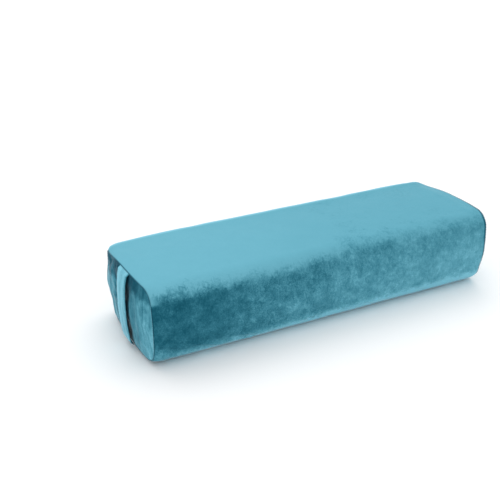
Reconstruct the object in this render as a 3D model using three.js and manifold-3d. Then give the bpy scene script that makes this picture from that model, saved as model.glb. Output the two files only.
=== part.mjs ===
// Rectangular bolster cushion: a zipped velvet cover with end panels and carrying straps, over a cotton
// casing, wadding and a foam core. Millimetres. X is the length, -Y the front, +Y the zipped back, and the
// flat base lies on Z = 0 with the origin at its middle.
import * as THREE from 'three'
import { mergeVertices } from 'three/addons/utils/BufferGeometryUtils.js'
import Module from 'manifold-3d'

const wasm = await Module()
wasm.setup()

// Overall size
const LENGTH = 660 // between the end seams at the cushion's corners
const WIDTH = 228
const HEIGHT = 145
const CORNER_R = 30 // roll of the four long edges
const SIDE_CROWN = 3 // swell of each long side past its rolled edges
const TOP_CROWN = 3
const END_BOW = 9.5 // swell of each end at its middle

// Layers, from the outside in
const FIT = 0.3 // air between two pieces that lie on each other
const COVER_T = 1.6
const CASING_T = 1
const BATTING_T = 12
const PAD_T = 12 // wadding pad at each end, at the corners

// Straps
const STRAP_W = 42
const STRAP_T = 2.4
const STRAP_Y = -15 // middle of the strap, a little towards the front
const STRAP_LIFT = 5.5 // how far the strap bows off the end panel
const STRAP_END = 2.2 // its ends stop this far from the top and the base
const STRAP_STEPS = 16

// Zipper, low on the back. Across the tape, 0 is the line where the two coils meet.
const ZIP_Z = 46
const SLOT = 12 // gap in the cover that shows the coils
const ZIP_END = 6 // tape ends to end seam
const TAPE_T = 0.5
const TAPE_W = 14.4
const MEET = 0.6 // half the gap between the coils, for the slider's post
const COIL_W = 2.4
const STOP_L = 4
const SLIDER_L = 10
const SLIDER_W = 8.8
const SLIDER_PLATE = 1
const SLIDER_BACK = 0.6 // plate behind the tapes
const POST_W = 0.6
const ZIP_START = LENGTH / 2 - ZIP_END - 2 // the stops lie inside the tapes' ends
const SLIDER_X = -(ZIP_START - STOP_L - FIT - SLIDER_L / 2) // closed, against the top stops
const BRIDGE_W = 1.6
const BRIDGE_L = 4.8
const BRIDGE_T = 0.7
const TAB_T = 0.8
const TAB_L = 21
const TAB_W = 6.4
const THREAD = 0.6

// Care label, between the cover and the casing, above the zipper
const LABEL_T = 0.3
const LABEL_W = 28
const LABEL_L = 50
const LABEL_X = 120 // its near end

const velvet = { color: 0x5b9fb2, roughness: 0.9 }
const velvetEnd = { color: 0x5093a6, roughness: 0.9 }
const velvetStrap = { color: 0x82c8d7, roughness: 0.85 }
const thread = { color: 0x3f7f92, roughness: 0.8 }
const tape = { color: 0x35707f, roughness: 0.85 }
const coil = { color: 0x2f6675, roughness: 0.45 }
const steel = { color: 0xb9bcbe, roughness: 0.35, metalness: 0.9 }
const label = { color: 0xf2f2ee, roughness: 0.7 }
const cotton = { color: 0xe9e4d8, roughness: 0.9 }
const wadding = { color: 0xf4f3ef, roughness: 1 }
const foam = { color: 0xefe3b8, roughness: 0.95 }

const group = new THREE.Group()
group.name = 'bolster_pillow'

function add(name, geometry, finish) {
  geometry.computeVertexNormals()
  const mesh = new THREE.Mesh(geometry, new THREE.MeshStandardMaterial(finish))
  mesh.name = name
  group.add(mesh)
}

// ---- The cross-section: arcs that meet smoothly, and a flat base ----
// It is walked from the zipper, up the back, over the top, down the front and home along the base.
const cornerY = WIDTH / 2 - CORNER_R - SIDE_CROWN
const cornerTop = HEIGHT - CORNER_R - TOP_CROWN
const middleZ = (CORNER_R + cornerTop) / 2

// A long arc that touches two corner rolls whose centres are 2 * half apart, and swells past them
function crown(half, swell) {
  const span = (half * half + swell * swell) / (2 * swell)
  return { r: span + CORNER_R, back: span - swell, angle: Math.asin(half / span) }
}

const side = crown((cornerTop - CORNER_R) / 2, SIDE_CROWN)
const top = crown(cornerY, TOP_CROWN)
const zipAngle = Math.asin((ZIP_Z - middleZ) / side.r)

function arc(y, z, r, from, to, steps) {
  const at = (k) => {
    const a = from + (to - from) * k
    return { y: y + r * Math.cos(a), z: z + r * Math.sin(a), ny: Math.cos(a), nz: Math.sin(a) }
  }
  return { at, length: r * (to - from), steps }
}

const base = {
  at: (k) => ({ y: cornerY * (2 * k - 1), z: 0, ny: 0, nz: -1 }),
  length: 2 * cornerY,
  steps: 4,
}
const sideY = cornerY - side.back
const topZ = cornerTop - top.back
const chain = [
  arc(sideY, middleZ, side.r, zipAngle, side.angle, 3),
  arc(cornerY, cornerTop, CORNER_R, side.angle, Math.PI / 2 - top.angle, 7),
  arc(0, topZ, top.r, Math.PI / 2 - top.angle, Math.PI / 2 + top.angle, 8),
  arc(-cornerY, cornerTop, CORNER_R, Math.PI / 2 + top.angle, Math.PI - side.angle, 7),
  arc(-sideY, middleZ, side.r, Math.PI - side.angle, Math.PI + side.angle, 4),
  arc(-cornerY, CORNER_R, CORNER_R, Math.PI + side.angle, 1.5 * Math.PI, 8),
  base,
  arc(cornerY, CORNER_R, CORNER_R, 1.5 * Math.PI, 2 * Math.PI - side.angle, 8),
  arc(sideY, middleZ, side.r, 2 * Math.PI - side.angle, 2 * Math.PI + zipAngle, 2),
]
const around = chain.reduce((sum, piece) => sum + piece.length, 0)

// The point on the section at distance s from the zipper's middle, moved inward by inset
function sectionPoint(s, inset) {
  let left = ((s % around) + around) % around
  let index = 0
  while (index < chain.length - 1 && left > chain[index].length) {
    left -= chain[index].length
    index += 1
  }
  const p = chain[index].at(Math.min(1, left / chain[index].length))
  return [p.y - inset * p.ny, p.z - inset * p.nz]
}

// How deep the inner layers are pressed in behind the slider, the tapes and the label, against s
const tapeReach = MEET + TAPE_W
const labelFrom = tapeReach + 1
const labelTo = labelFrom + LABEL_W
const sliderReach = SLIDER_W / 2 + FIT
const behindTape = TAPE_T + FIT
const behindSlider = behindTape + SLIDER_BACK + FIT
const pressed = [
  [-tapeReach - 3, 0],
  [-tapeReach - FIT, behindTape],
  [-sliderReach - 1.5, behindTape],
  [-sliderReach, behindSlider],
  [sliderReach, behindSlider],
  [sliderReach + 1.5, behindTape],
  [labelTo + FIT, behindTape],
  [labelTo + 4, 0],
]

function dent(s) {
  const t = s > around / 2 ? s - around : s
  for (let i = 1; i < pressed.length; i += 1) {
    const [s0, d0] = pressed[i - 1]
    const [s1, d1] = pressed[i]
    if (t >= s0 && t <= s1) return d0 + ((d1 - d0) * (t - s0)) / (s1 - s0)
  }
  return 0
}

// Shared positions round the section, so that layers lie evenly on each other
const stations = pressed.map(([s]) => (s < 0 ? s + around : s))
let walked = 0
for (const piece of chain) {
  for (let i = 0; i < piece.steps; i += 1) {
    const s = walked + (piece.length * i) / piece.steps
    if (stations.every((other) => Math.abs(other - s) > 1.5)) stations.push(s)
  }
  walked += piece.length
}
stations.sort((a, b) => a - b)

function loop(inset, follows = () => 0) {
  return stations.map((s) => sectionPoint(s, inset + follows(s)))
}

// ---- Solids ----
const alongX = new THREE.Matrix4().makeBasis(
  new THREE.Vector3(0, 1, 0),
  new THREE.Vector3(0, 0, 1),
  new THREE.Vector3(1, 0, 0),
)
const alongY = new THREE.Matrix4().makeBasis(
  new THREE.Vector3(1, 0, 0),
  new THREE.Vector3(0, 0, 1),
  new THREE.Vector3(0, -1, 0),
)

function shapeOf(points) {
  return new THREE.Shape(points.map(([a, b]) => new THREE.Vector2(a, b)))
}

function holeOf(points) {
  return new THREE.Path(points.map(([a, b]) => new THREE.Vector2(a, b)))
}

// A drawn outline, pulled straight out by depth
function pulled(shape, depth) {
  return new THREE.ExtrudeGeometry(shape, { depth, bevelEnabled: false, curveSegments: 8 })
}

function faces(positions, index) {
  const geometry = new THREE.BufferGeometry()
  geometry.setAttribute('position', new THREE.Float32BufferAttribute(positions, 3))
  geometry.setIndex(index)
  return geometry.toNonIndexed()
}

// How far the stuffed end stands out past its corners: it swells across the width more than up the height
function bow(y, z) {
  const across = (2 * y) / WIDTH
  const up = (2 * z - HEIGHT) / WIDTH
  return END_BOW * Math.max(0, 1 - across * across - 0.5 * up * up)
}

const level = () => 0

// A strip of the section between s0 and s1, between two depths under the outer surface
function strip(s0, s1, outer, inner) {
  const walk = [s0, ...stations.filter((s) => s > s0 + 0.01 && s < s1 - 0.01), s1]
  return { out: walk.map((s) => sectionPoint(s, outer)), in: walk.map((s) => sectionPoint(s, inner)) }
}

// A strip, or a ring of the section if it is closed, run from x0 to x1. Its ends stand out by swell.
function run({ out, in: inner }, x0, x1, { closed = false, swell = level } = {}) {
  const count = out.length
  const positions = []
  const index = []
  for (let i = 0; i < count; i += 1) {
    for (const x of [x0, x1]) {
      for (const [y, z] of [out[i], inner[i]]) positions.push(x + Math.sign(x) * swell(y, z), y, z)
    }
  }
  const quad = (a, b, c, d) => index.push(a, b, c, a, c, d)
  for (let i = 0; i < (closed ? count : count - 1); i += 1) {
    const a = 4 * i
    const b = 4 * ((i + 1) % count)
    quad(a, b, b + 2, a + 2)
    quad(a + 1, a + 3, b + 3, b + 1)
    quad(a, a + 1, b + 1, b)
    quad(a + 2, b + 2, b + 3, a + 3)
  }
  if (!closed) {
    const last = 4 * (count - 1)
    quad(0, 2, 3, 1)
    quad(last, last + 1, last + 3, last + 2)
  }
  return faces(positions, index)
}

// A filled outline between two faces, each made of nested copies of the outline
const NESTED = [1, 0.8, 0.55, 0.28]

function filled(outline, xBack, xFront) {
  const count = outline.length
  const positions = []
  const index = []
  for (const x of [xFront, xBack]) {
    for (const u of NESTED) {
      for (const [y0, z0] of outline) {
        const y = y0 * u
        const z = HEIGHT / 2 + (z0 - HEIGHT / 2) * u
        positions.push(x(y, z), y, z)
      }
    }
    positions.push(x(0, HEIGHT / 2), 0, HEIGHT / 2)
  }
  const side = NESTED.length * count + 1
  const face = (a, b, c) => index.push(a, b, c, side + a, side + c, side + b)
  for (let i = 0; i < count; i += 1) {
    const j = (i + 1) % count
    for (let k = 0; k < NESTED.length - 1; k += 1) {
      face(k * count + i, k * count + j, (k + 1) * count + i)
      face(k * count + j, (k + 1) * count + j, (k + 1) * count + i)
    }
    face(side - 1 - count + i, side - 1 - count + j, side - 1)
    index.push(i, side + i, j, j, side + i, side + j)
  }
  return faces(positions, index)
}

// An end piece between two depths behind the bowed end. hand is 1 for the +X end and -1 for the -X end.
function plate(outline, depth, thick, hand) {
  const front = (y, z) => hand * (LENGTH / 2 - depth + bow(y, z))
  const back = (y, z) => front(y, z) - hand * thick
  return hand > 0 ? filled(outline, back, front) : filled(outline, front, back)
}

// ---- Cover ----
function cover() {
  const wrap = strip(SLOT / 2, around - SLOT / 2, 0, COVER_T)
  add('cover_body_panel', run(wrap, -LENGTH / 2, LENGTH / 2, { swell: bow }), velvet)
  const outline = loop(COVER_T + FIT)
  add('cover_left_end', plate(outline, 0, COVER_T, -1), velvetEnd)
  add('cover_right_end', plate(outline, 0, COVER_T, 1), velvetEnd)
}

// The thread of each end seam runs over the body panel's edge.
function endSeams() {
  const ring = { out: loop((COVER_T - THREAD) / 2), in: loop((COVER_T + THREAD) / 2) }
  const near = LENGTH / 2 + FIT
  const far = near + THREAD
  add('left_end_seam_thread', run(ring, -far, -near, { closed: true, swell: bow }), thread)
  add('right_end_seam_thread', run(ring, near, far, { closed: true, swell: bow }), thread)
}

// ---- Straps ----
function strap(hand) {
  const low = STRAP_END
  const high = HEIGHT - STRAP_END
  const near = []
  const far = []
  for (let i = 0; i <= STRAP_STEPS; i += 1) {
    const t = i / STRAP_STEPS
    const z = low + (high - low) * t
    const lift = FIT + STRAP_LIFT * (1 - (2 * t - 1) ** 4)
    const x = LENGTH / 2 + bow(0, z) + lift
    near.push([hand * x, z])
    far.push([hand * (x + STRAP_T), z])
  }
  const outline = [...near, ...far.reverse()]
  const geometry = pulled(shapeOf(outline), STRAP_W)
  geometry.applyMatrix4(alongY)
  geometry.translate(0, STRAP_Y + STRAP_W / 2, 0)
  return geometry
}

// ---- Zipper ----
const tapeOut = COVER_T + FIT
const coilOut = 0
const coilIn = tapeOut - FIT
const plateIn = coilOut - FIT
const plateOut = plateIn - SLIDER_PLATE
const tabMiddle = plateOut - FIT - TAB_T / 2

function zipperTapes() {
  const end = LENGTH / 2 - ZIP_END
  const tapeIn = tapeOut + TAPE_T
  add('zipper_tape_upper', run(strip(MEET, MEET + TAPE_W, tapeOut, tapeIn), -end, end), tape)
  add('zipper_tape_lower', run(strip(-MEET - TAPE_W, -MEET, tapeOut, tapeIn), -end, end), tape)
  const row = SLOT / 2 + 2
  const lift = -FIT - THREAD
  add('zipper_stitching_upper', run(strip(row, row + THREAD, lift, -FIT), -end, end), thread)
  add('zipper_stitching_lower', run(strip(-row - THREAD, -row, lift, -FIT), -end, end), thread)
}

function zipperCoils() {
  const stop = ZIP_START - STOP_L
  const far = MEET + COIL_W
  const upper = strip(MEET, far, coilOut, coilIn)
  const lower = strip(-far, -MEET, coilOut, coilIn)
  add('zipper_coil_upper', run(upper, FIT - stop, stop - FIT), coil)
  add('zipper_coil_lower', run(lower, FIT - stop, stop - FIT), coil)
  add('zipper_top_stop_upper', run(upper, -ZIP_START, -stop), steel)
  add('zipper_top_stop_lower', run(lower, -ZIP_START, -stop), steel)
  add('zipper_bottom_stop', run(strip(-far, far, coilOut, coilIn), stop, ZIP_START), steel)
}

function solid(geometry) {
  const clean = geometry.clone()
  clean.deleteAttribute('normal')
  clean.deleteAttribute('uv')
  const merged = mergeVertices(clean, 1e-4)
  const vertProperties = Float32Array.from(merged.attributes.position.array)
  const triVerts = Uint32Array.from(merged.index.array)
  return new wasm.Manifold(new wasm.Mesh({ numProp: 3, vertProperties, triVerts }))
}

function geometryOf(manifold) {
  const mesh = manifold.getMesh()
  const geometry = new THREE.BufferGeometry()
  const positions = new Float32Array(mesh.numVert * 3)
  for (let i = 0; i < mesh.numVert; i += 1) {
    positions.set(mesh.vertProperties.subarray(i * mesh.numProp, i * mesh.numProp + 3), i * 3)
  }
  geometry.setAttribute('position', new THREE.BufferAttribute(positions, 3))
  geometry.setIndex(Array.from(mesh.triVerts))
  return geometry.toNonIndexed()
}

// Places a piece drawn as x, across the tape towards the base, and outward, with the slider's middle at 0
const zipOrigin = sectionPoint(0, 0)
const onZipper = new THREE.Matrix4().makeBasis(
  new THREE.Vector3(1, 0, 0),
  new THREE.Vector3(0, Math.sin(zipAngle), -Math.cos(zipAngle)),
  new THREE.Vector3(0, Math.cos(zipAngle), Math.sin(zipAngle)),
)
onZipper.setPosition(SLIDER_X, zipOrigin[0], zipOrigin[1])

// One body: a plate over the coils with a flange down each side, a post between them and a plate behind
function slider() {
  const w = SLIDER_W / 2
  const flange = MEET + COIL_W + FIT
  const backOut = tapeOut + TAPE_T + FIT
  const p = POST_W / 2
  const corners = [
    [-w, plateOut],
    [w, plateOut],
    [w, coilIn],
    [flange, coilIn],
    [flange, plateIn],
    [p, plateIn],
    [p, backOut],
    [w, backOut],
    [w, backOut + SLIDER_BACK],
    [-w, backOut + SLIDER_BACK],
    [-w, backOut],
    [-p, backOut],
    [-p, plateIn],
    [-flange, plateIn],
    [-flange, coilIn],
    [-w, coilIn],
  ]
  const outline = shapeOf(corners.map(([s, depth]) => sectionPoint(s, depth)))
  const body = pulled(outline, SLIDER_L).applyMatrix4(alongX)
  body.translate(SLIDER_X - SLIDER_L / 2, 0, 0)
  return geometryOf(solid(body).add(solid(bridge())))
}

// The bridge that carries the tab: an arch along X, standing on the slider's plate
function bridge() {
  const foot = -plateOut - SLIDER_PLATE / 2
  const under = -tabMiddle + TAB_T / 2 + FIT
  const half = BRIDGE_L / 2
  const arch = [
    [-half, foot],
    [-half + BRIDGE_T, foot],
    [-half + BRIDGE_T, under],
    [half - BRIDGE_T, under],
    [half - BRIDGE_T, foot],
    [half, foot],
    [half, under + BRIDGE_T * 0.4],
    [half - BRIDGE_T * 0.6, under + BRIDGE_T],
    [-half + BRIDGE_T * 0.6, under + BRIDGE_T],
    [-half, under + BRIDGE_T * 0.4],
  ]
  const geometry = pulled(shapeOf(arch), BRIDGE_W)
  geometry.translate(0, 0, -BRIDGE_W / 2)
  return geometry.applyMatrix4(alongY).applyMatrix4(onZipper)
}

// The tab lies along the zipper; the bar at its eye is under the bridge.
function pullTab() {
  const eye = BRIDGE_W / 2 + FIT
  const arm = eye + 1
  const w = TAB_W / 2
  const reach = Math.hypot(BRIDGE_L / 2, FIT + TAB_T / 2 + BRIDGE_T) + FIT
  const barHalf = TAB_T / 2
  const outline = new THREE.Shape()
  outline.moveTo(-barHalf, -arm)
  outline.lineTo(reach + 1, -arm)
  outline.lineTo(reach + 3, -w)
  outline.lineTo(TAB_L - w, -w)
  outline.absarc(TAB_L - w, 0, w, -Math.PI / 2, Math.PI / 2, false)
  outline.lineTo(reach + 3, w)
  outline.lineTo(reach + 1, arm)
  outline.lineTo(-barHalf, arm)
  outline.closePath()
  const window = [
    [barHalf, -eye],
    [barHalf, eye],
    [reach, eye],
    [reach, -eye],
  ]
  outline.holes.push(holeOf(window))
  const grip = new THREE.Path()
  grip.absarc(TAB_L - w, 0, w * 0.45, 0, 2 * Math.PI, true)
  outline.holes.push(grip)
  const geometry = pulled(outline, TAB_T)
  geometry.translate(0, 0, -tabMiddle - TAB_T / 2)
  return geometry.applyMatrix4(onZipper)
}

function careLabel() {
  const depth = COVER_T + FIT
  return run(strip(labelFrom, labelTo, depth, depth + LABEL_T), LABEL_X, LABEL_X + LABEL_L)
}

// ---- Inside ----
function filling() {
  const casingOut = COVER_T + FIT
  const casingIn = casingOut + CASING_T
  const battingOut = casingIn + FIT
  const battingIn = battingOut + BATTING_T
  const casingEnd = LENGTH / 2 - casingOut
  const tube = { out: loop(casingOut, dent), in: loop(casingIn, dent) }
  add('inner_casing_body', run(tube, -casingEnd, casingEnd, { closed: true, swell: bow }), cotton)
  const inner = loop(battingOut, dent)
  const padEnd = LENGTH / 2 - PAD_T
  const front = (y, z) => LENGTH / 2 - battingOut + bow(y, z)
  add('inner_casing_left_end', plate(inner, casingOut, CASING_T, -1), cotton)
  add('inner_casing_right_end', plate(inner, casingOut, CASING_T, 1), cotton)
  add('batting_left_pad', filled(inner, (y, z) => -front(y, z), () => -padEnd), wadding)
  add('batting_right_pad', filled(inner, () => padEnd, front), wadding)
  const core = padEnd - FIT
  const sleeve = { out: inner, in: loop(battingIn) }
  add('batting_sleeve', run(sleeve, -core, core, { closed: true }), wadding)
  add('foam_core', filled(loop(battingIn + FIT), () => -core, () => core), foam)
}

cover()
endSeams()
add('left_handle_strap', strap(-1), velvetStrap)
add('right_handle_strap', strap(1), velvetStrap)
zipperTapes()
zipperCoils()
add('zipper_slider', slider(), steel)
add('zipper_pull_tab', pullTab(), steel)
add('care_label', careLabel(), label)
filling()

export default group
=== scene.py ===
"""Rectangular velvet bolster cushion with end straps and a back zipper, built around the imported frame."""

import math

import bmesh
import bpy
import numpy as np
from mathutils import Matrix, Vector, noise


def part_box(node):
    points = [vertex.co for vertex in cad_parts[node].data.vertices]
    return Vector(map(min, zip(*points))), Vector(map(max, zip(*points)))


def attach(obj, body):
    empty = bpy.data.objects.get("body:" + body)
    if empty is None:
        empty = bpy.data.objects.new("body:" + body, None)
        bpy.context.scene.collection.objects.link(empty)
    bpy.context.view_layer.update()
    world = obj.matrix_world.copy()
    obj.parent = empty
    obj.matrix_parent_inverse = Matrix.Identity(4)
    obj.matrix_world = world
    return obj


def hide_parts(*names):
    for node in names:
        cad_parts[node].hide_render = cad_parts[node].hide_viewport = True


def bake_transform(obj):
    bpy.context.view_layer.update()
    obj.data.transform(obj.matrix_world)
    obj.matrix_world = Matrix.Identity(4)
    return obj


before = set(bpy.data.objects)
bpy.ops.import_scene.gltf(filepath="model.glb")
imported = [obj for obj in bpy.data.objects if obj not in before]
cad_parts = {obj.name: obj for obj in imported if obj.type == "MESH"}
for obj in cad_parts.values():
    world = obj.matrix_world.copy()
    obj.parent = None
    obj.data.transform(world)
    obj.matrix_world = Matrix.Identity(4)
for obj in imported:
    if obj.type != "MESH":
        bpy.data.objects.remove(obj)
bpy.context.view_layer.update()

# ---- sizes, in millimetres, as in the CAD
MM = 0.001
LENGTH, WIDTH, HEIGHT = 660.0, 228.0, 145.0
CORNER_R, SIDE_CROWN, TOP_CROWN = 30.0, 3.0, 3.0
END_BOW = 9.5
FIT, COVER_T, CASING_T, BATTING_T = 0.3, 1.6, 1.0, 12.0
STRAP_W, STRAP_T, STRAP_Y, STRAP_LIFT = 42.0, 2.4, -15.0, 5.5
ZIP_Z, SLOT, ZIP_END, STOP_L = 46.0, 12.0, 6.0, 4.0
TAPE_HALF = LENGTH / 2 - ZIP_END
COIL_HALF = TAPE_HALF - 2 - STOP_L - 2 * FIT
STITCH = 3.2  # from one stitch to the next
STITCH_ROW = 8.3  # from the zipper's middle to the stitches that hold each tape

# ---- camera, lights, floor
CAMERA_AZ, CAMERA_EL, CAMERA_ROLL = -30.828, 25.616, -0.495  # degrees
CAMERA_AWAY = 1.514579
CAMERA_PAN, CAMERA_TILT = -0.061, 0.013  # the aim beside and above the cushion's middle, radians
CAMERA_LENS = 59.877
SKY_STRENGTH = 0.92
SOFTBOX_STRENGTH, SOFTBOX_SPREAD, SOFTBOX_PLACE = 0.95, 60, (0.3, 0.9, 2.2)
FLOOR_HALF, FLOOR_TONES = 9e3, (0.94, 0.97)


def add_camera():
    az, el = math.radians(CAMERA_AZ), math.radians(CAMERA_EL)
    back = Vector((math.sin(az) * math.cos(el), -math.cos(az) * math.cos(el), math.sin(el)))
    right = Vector((math.cos(az), math.sin(az), 0))
    up = back.cross(right)
    forward = (-back + math.tan(CAMERA_PAN) * right + math.tan(CAMERA_TILT) * up).normalized()
    right = forward.cross(Vector((0, 0, 1))).normalized()
    up = right.cross(forward)
    roll = math.radians(CAMERA_ROLL)
    side = math.cos(roll) * right + math.sin(roll) * up
    top = math.cos(roll) * up - math.sin(roll) * right
    data = bpy.data.cameras.new("camera")
    data.lens = CAMERA_LENS
    data.clip_end = 60
    camera = bpy.data.objects.new("camera", data)
    rotation = Matrix((side, top, -forward)).transposed().to_4x4()
    place = Vector((0, 0, HEIGHT * MM / 2)) + CAMERA_AWAY * back
    camera.matrix_world = Matrix.Translation(place) @ rotation
    bpy.context.scene.collection.objects.link(camera)
    bpy.context.scene.camera = camera


def add_lights():
    """A pale sky all round, and one large soft light from above and behind."""
    world = bpy.data.worlds.new("studio")
    bpy.context.scene.world = world
    world.use_nodes = True
    sky = world.node_tree.nodes["Background"]
    sky.inputs["Color"].default_value = (0.98, 0.99, 1.0, 1)
    sky.inputs["Strength"].default_value = SKY_STRENGTH
    light = bpy.data.lights.new("overhead_softbox", "SUN")
    light.energy = SOFTBOX_STRENGTH
    light.angle = math.radians(SOFTBOX_SPREAD)
    softbox = bpy.data.objects.new("overhead_softbox", light)
    softbox.location = SOFTBOX_PLACE
    softbox.rotation_euler = (-Vector(SOFTBOX_PLACE)).to_track_quat("-Z", "Y").to_euler()
    bpy.context.scene.collection.objects.link(softbox)
    view = bpy.context.scene.view_settings
    view.view_transform = "Standard"
    view.look = "None"


# ---- node helpers
class Nodes:
    """Builds one material's nodes. A value is a socket or a number."""

    def __init__(self, name):
        self.material = bpy.data.materials.new(name)
        self.material.use_nodes = True
        self.tree = self.material.node_tree
        self.shader = self.tree.nodes["Principled BSDF"]

    def add(self, kind, **settings):
        node = self.tree.nodes.new(kind)
        for key, value in settings.items():
            setattr(node, key, value)
        return node

    def put(self, socket, value):
        if isinstance(value, bpy.types.NodeSocket):
            self.tree.links.new(value, socket)
        else:
            socket.default_value = value

    def place(self, stretch=(1, 1, 1)):
        """Object coordinates in metres, stretched."""
        mapping = self.add("ShaderNodeMapping")
        self.put(mapping.inputs["Vector"], self.add("ShaderNodeTexCoord").outputs["Object"])
        mapping.inputs["Scale"].default_value = stretch
        return mapping.outputs["Vector"]

    def axes(self):
        split = self.add("ShaderNodeSeparateXYZ")
        self.put(split.inputs[0], self.add("ShaderNodeTexCoord").outputs["Object"])
        return split.outputs[0], split.outputs[1], split.outputs[2]

    def noise(self, scale, detail=3, rough=0.5, warp=0.0, where=None):
        node = self.add("ShaderNodeTexNoise")
        self.put(node.inputs["Vector"], where if where is not None else self.place())
        node.inputs["Scale"].default_value = scale
        node.inputs["Detail"].default_value = detail
        node.inputs["Roughness"].default_value = rough
        node.inputs["Distortion"].default_value = warp
        return node.outputs["Fac"]

    def math(self, what, a, b=0.0, c=0.0, clamp=False):
        node = self.add("ShaderNodeMath", operation=what, use_clamp=clamp)
        for socket, value in zip(node.inputs, (a, b, c)):
            self.put(socket, value)
        return node.outputs[0]

    def ease(self, value, low, high, to_low=0.0, to_high=1.0, how="SMOOTHSTEP"):
        """From to_low at low to to_high at high, smoothly unless how says LINEAR."""
        node = self.add("ShaderNodeMapRange", interpolation_type=how)
        for socket, v in zip(node.inputs, (value, low, high, to_low, to_high)):
            self.put(socket, v)
        return node.outputs[0]

    def ramp(self, value, stops):
        """Colours by value, from (place, sRGB hex code) stops."""
        node = self.add("ShaderNodeValToRGB")
        self.put(node.inputs[0], value)
        elements = node.color_ramp.elements
        while len(elements) < len(stops):
            elements.new(0.5)
        for element, (at, code) in zip(elements, stops):
            element.position = at
            element.color = (*rgb(code), 1)
        return node.outputs[0]

    def bump(self, height, distance, strength=1.0, after=None):
        node = self.add("ShaderNodeBump")
        node.inputs["Strength"].default_value = strength
        node.inputs["Distance"].default_value = distance
        self.put(node.inputs["Height"], height)
        if after is not None:
            self.put(node.inputs["Normal"], after)
        return node.outputs[0]

    def finish(self, **sockets):
        for key, value in sockets.items():
            self.put(self.shader.inputs[key.replace("_", " ")], value)
        return self.material


def rgb(code):
    """A linear colour from an sRGB hex code."""
    parts = [int(code[i:i + 2], 16) / 255 for i in (0, 2, 4)]
    return tuple(p / 12.92 if p <= 0.04045 else ((p + 0.055) / 1.055) ** 2.4 for p in parts)


# ---- the cushion's section, as in part.mjs
CORNER_Y = WIDTH / 2 - CORNER_R - SIDE_CROWN
CORNER_TOP = HEIGHT - CORNER_R - TOP_CROWN
MIDDLE_Z = (CORNER_R + CORNER_TOP) / 2


def crown(half, swell):
    span = (half * half + swell * swell) / (2 * swell)
    return span + CORNER_R, span - swell, math.asin(half / span)


SIDE_R, SIDE_BACK, SIDE_A = crown((CORNER_TOP - CORNER_R) / 2, SIDE_CROWN)
TOP_R, TOP_BACK, TOP_A = crown(CORNER_Y, TOP_CROWN)
ZIP_A = math.asin((ZIP_Z - MIDDLE_Z) / SIDE_R)
SIDE_Y, TOP_Z = CORNER_Y - SIDE_BACK, CORNER_TOP - TOP_BACK


def section_table():
    """Rows of (s, y, z, ny, nz) round the section, from the zipper's middle up the back."""
    pi = math.pi
    arcs = [
        (SIDE_Y, MIDDLE_Z, SIDE_R, ZIP_A, SIDE_A),
        (CORNER_Y, CORNER_TOP, CORNER_R, SIDE_A, pi / 2 - TOP_A),
        (0, TOP_Z, TOP_R, pi / 2 - TOP_A, pi / 2 + TOP_A),
        (-CORNER_Y, CORNER_TOP, CORNER_R, pi / 2 + TOP_A, pi - SIDE_A),
        (-SIDE_Y, MIDDLE_Z, SIDE_R, pi - SIDE_A, pi + SIDE_A),
        (-CORNER_Y, CORNER_R, CORNER_R, pi + SIDE_A, 1.5 * pi),
        None,  # the flat base
        (CORNER_Y, CORNER_R, CORNER_R, 1.5 * pi, 2 * pi - SIDE_A),
        (SIDE_Y, MIDDLE_Z, SIDE_R, 2 * pi - SIDE_A, 2 * pi + ZIP_A),
    ]
    rows, walked = [], 0.0
    for arc in arcs:
        k = np.linspace(0, 1, 81)
        if arc is None:
            length = 2 * CORNER_Y
            y, z = CORNER_Y * (2 * k - 1), 0 * k
            ny, nz = 0 * k, 0 * k - 1
        else:
            cy, cz, r, a0, a1 = arc
            a = a0 + (a1 - a0) * k
            length = r * (a1 - a0)
            y, z, ny, nz = cy + r * np.cos(a), cz + r * np.sin(a), np.cos(a), np.sin(a)
        rows.append(np.stack([walked + length * k, y, z, ny, nz], 1)[:-1])
        walked += length
    table = np.concatenate(rows)
    close = table[:1].copy()
    close[0, 0] = walked
    return np.concatenate([table, close]), walked


SECTION, AROUND = section_table()


def section(s, inset=0.0):
    """Points (y, z) and normals of the section at distances s, moved inward by inset."""
    t = np.mod(s, AROUND)
    y, z, ny, nz = (np.interp(t, SECTION[:, 0], SECTION[:, k]) for k in (1, 2, 3, 4))
    size = np.hypot(ny, nz)
    ny, nz = ny / size, nz / size
    return y - inset * ny, z - inset * nz, ny, nz


def bow(y, z):
    """How far an end's CAD dome stands past the end seams' plane."""
    across, up = 2 * y / WIDTH, (2 * z - HEIGHT) / WIDTH
    return END_BOW * np.maximum(0, 1 - across * across - 0.5 * up * up)


def smooth(t):
    t = np.clip(t, 0, 1)
    return t * t * (3 - 2 * t)


# ---- mesh helpers
def make(name, verts, polys, material, body="bolster"):
    """A mesh object from points in millimetres. Faces of many sides are caps, and stay flat."""
    mesh = bpy.data.meshes.new(name)
    mesh.from_pydata((np.asarray(verts, float) * MM).tolist(), [], [list(map(int, p)) for p in polys])
    mesh.materials.append(material)
    mesh.validate()
    obj = bpy.data.objects.new(name, mesh)
    bpy.context.scene.collection.objects.link(obj)
    bm = bmesh.new()
    bm.from_mesh(mesh)
    bmesh.ops.recalc_face_normals(bm, faces=bm.faces)
    bm.to_mesh(mesh)
    bm.free()
    mesh.polygons.foreach_set("use_smooth", [len(p.vertices) < 5 for p in mesh.polygons])
    if body:
        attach(obj, body)
    return obj


def grid_faces(rows, columns, closed_rows=False, closed_columns=False):
    """Quads over a rows x columns grid of points, numbered row by row."""
    i = np.arange(rows if closed_rows else rows - 1)[:, None]
    j = np.arange(columns if closed_columns else columns - 1)[None, :]
    a = i * columns + j
    b = i * columns + (j + 1) % columns
    c = ((i + 1) % rows) * columns + (j + 1) % columns
    d = ((i + 1) % rows) * columns + j
    return np.stack([a, b, c, d], -1).reshape(-1, 4)


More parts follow.
